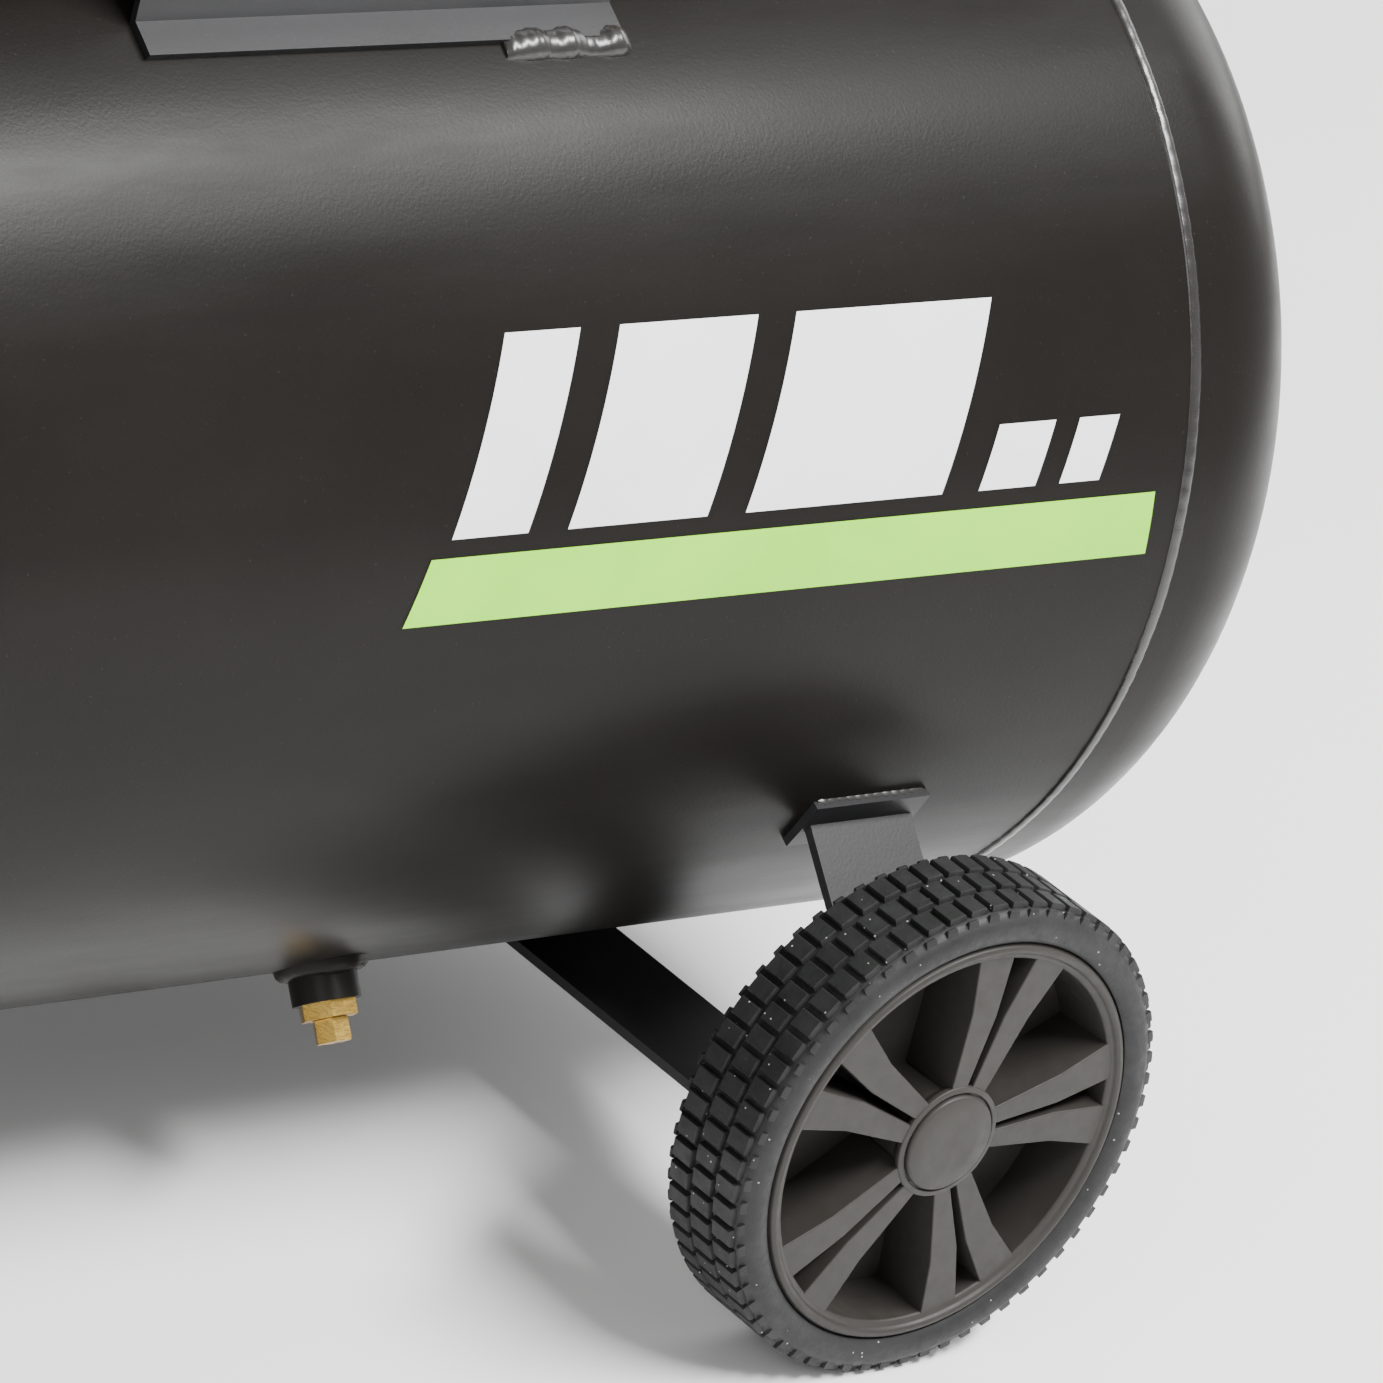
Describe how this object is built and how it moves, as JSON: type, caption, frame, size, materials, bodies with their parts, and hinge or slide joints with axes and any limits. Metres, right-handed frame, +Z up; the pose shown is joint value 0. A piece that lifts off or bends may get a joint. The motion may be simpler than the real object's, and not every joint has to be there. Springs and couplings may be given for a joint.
{
  "type": "air compressor",
  "caption": "Belt-driven air compressor on a horizontal black receiver with fixed wheels, rubber feet and a carrying handle.",
  "frame": {"origin": "on the floor, under the middle of the machine", "axes": "+X along the receiver to the wheel end, +Y to the back (belt guard), +Z up"},
  "size_m": [1.1322, 0.5956, 0.848],
  "materials": {
    "tank_paint": "satin black powder coat",
    "frame_paint": "satin black powder coat",
    "wheel_plastic": "fine moulded grain",
    "tyre": "matte",
    "rubber": "matte",
    "pump_iron": "painted casting",
    "cast_aluminium": "as cast",
    "motor_paint": "satin",
    "steel": "zinc plated",
    "black_plastic": "fine grain",
    "signal_red": "gloss",
    "brass": "machined",
    "copper": "drawn tube",
    "plated": "plated",
    "dial_white": "printed",
    "needle_black": "gloss",
    "glass": "clear"
  },
  "bodies": {
    "frame": {"air_filters": "black_plastic", "axle_fasteners": "steel", "belt_guard": "frame_paint", "check_valve": "brass", "crankcase": "pump_iron", "crankcase_cover": "pump_iron", "cylinder_block": "pump_iron", "cylinder_head": "cast_aluminium", "delivery_pipe": "copper", "drain_valve": "brass", "fan_cowl": "motor_paint", "foot_bracket": "frame_paint", "gauge_case": "black_plastic", "gauge_dial": "dial_white", "gauge_lens": "glass", "handle_grip": "rubber", "handle_tube": "frame_paint", "head_left": "tank_paint", "head_right": "tank_paint", "hex_bolts": "steel", "manifold": "brass", "motor_housing": "motor_paint", "outlet_coupling": "plated", "platform": "frame_paint", "regulator_body": "brass", "rubber_feet": "rubber", "saddles": "frame_paint", "safety_valve": "brass", "seam_welds": "tank_paint", "sight_glass": "glass", "switch_base": "black_plastic", "switch_cover": "black_plastic", "tank_bosses": "tank_paint", "tank_shell": "tank_paint", "terminal_box": "motor_paint", "unloader_pipe": "copper", "v_belt": "rubber", "wheel_bracket": "frame_paint"},
    "wheel_front_body": {"tyre_front": "tyre", "wheel_front": "wheel_plastic", "hub_cap_front": "wheel_plastic"},
    "wheel_back_body": {"tyre_back": "tyre", "wheel_back": "wheel_plastic", "hub_cap_back": "wheel_plastic"},
    "crank": {"crankshaft": "steel", "flywheel": "pump_iron"},
    "rod_front": {"con_rod_front": "cast_aluminium"},
    "rod_back": {"con_rod_back": "cast_aluminium"},
    "piston_front_body": {"piston_front": "cast_aluminium"},
    "piston_back_body": {"piston_back": "cast_aluminium"},
    "motor_rotor": {"rotor": "steel", "motor_pulley": "pump_iron"},
    "switch_knob_body": {"switch_knob": "signal_red"},
    "needle": {"gauge_needle": "needle_black"},
    "regulator_knob_body": {"regulator_knob": "black_plastic"},
    "sleeve": {"coupling_sleeve": "plated"},
    "ring": {"safety_ring": "plated"},
    "drain_screw_body": {"drain_screw": "brass"},
    "oil_plug": {"oil_filler": "black_plastic"},
    "reset_button": {"overload_button": "signal_red"}
  },
  "joints": [
    {"name": "front_wheel_spin", "type": "hinge", "parent": "frame", "child": "wheel_front_body", "pos_m": [0.33309, -0.2725, 0.1], "axis": [0, 1, 0], "continuous": true},
    {"name": "back_wheel_spin", "type": "hinge", "parent": "frame", "child": "wheel_back_body", "pos_m": [0.33309, 0.2725, 0.1], "axis": [0, 1, 0], "continuous": true},
    {"name": "crank_spin", "type": "hinge", "parent": "frame", "child": "crank", "pos_m": [0.08608, 0, 0.635], "axis": [0, 1, 0], "continuous": true},
    {"name": "front_rod_pin", "type": "hinge", "parent": "crank", "child": "rod_front", "pos_m": [0.08608, -0.042, 0.655], "axis": [0, 1, 0], "continuous": true},
    {"name": "back_rod_pin", "type": "hinge", "parent": "crank", "child": "rod_back", "pos_m": [0.08608, 0.042, 0.615], "axis": [0, 1, 0], "continuous": true},
    {"name": "front_piston_stroke", "type": "slide", "parent": "frame", "child": "piston_front_body", "axis": [0, 0, 1], "range_m": [-0.04, 0]},
    {"name": "back_piston_stroke", "type": "slide", "parent": "frame", "child": "piston_back_body", "axis": [0, 0, 1], "range_m": [0, 0.04]},
    {"name": "motor_spin", "type": "hinge", "parent": "frame", "child": "motor_rotor", "pos_m": [-0.22192, 0, 0.635], "axis": [0, 1, 0], "continuous": true},
    {"name": "switch_turn", "type": "hinge", "parent": "frame", "child": "switch_knob_body", "pos_m": [0.33309, 0, 0.704], "axis": [0, 0, 1], "range_deg": [0, 90]},
    {"name": "needle_swing", "type": "hinge", "parent": "frame", "child": "needle", "pos_m": [0.33309, -0.041, 0.578], "axis": [0, 1, 0], "range_deg": [0, 270]},
    {"name": "regulator_turn", "type": "hinge", "parent": "frame", "child": "regulator_knob_body", "pos_m": [0.39009, 0, 0.6], "axis": [0, 0, 1], "range_deg": [0, 1080]},
    {"name": "sleeve_pull", "type": "slide", "parent": "frame", "child": "sleeve", "axis": [-1, 0, 0], "range_m": [0, 0.008], "stiffness_N_per_m": 600},
    {"name": "ring_pull", "type": "slide", "parent": "frame", "child": "ring", "axis": [0, 1, 0], "range_m": [0, 0.003], "stiffness_N_per_m": 1500},
    {"name": "drain_turn", "type": "hinge", "parent": "frame", "child": "drain_screw_body", "pos_m": [0.14708, -0.14714, 0.10167], "axis": [0, -0.6157, -0.788], "range_deg": [0, 720]},
    {"name": "oil_plug_pull", "type": "slide", "parent": "frame", "child": "oil_plug", "axis": [1, 0, 0], "range_m": [0, 0.028]},
    {"name": "reset_press", "type": "slide", "parent": "frame", "child": "reset_button", "axis": [0, 1, 0], "range_m": [0, 0.002], "stiffness_N_per_m": 500}
  ],
  "couplings": [
    {"joint": "motor_spin", "follows": "crank_spin", "ratio": 3.1111},
    {"joint": "front_rod_pin", "follows": "crank_spin", "ratio": -1},
    {"joint": "back_rod_pin", "follows": "crank_spin", "ratio": -1}
  ]
}
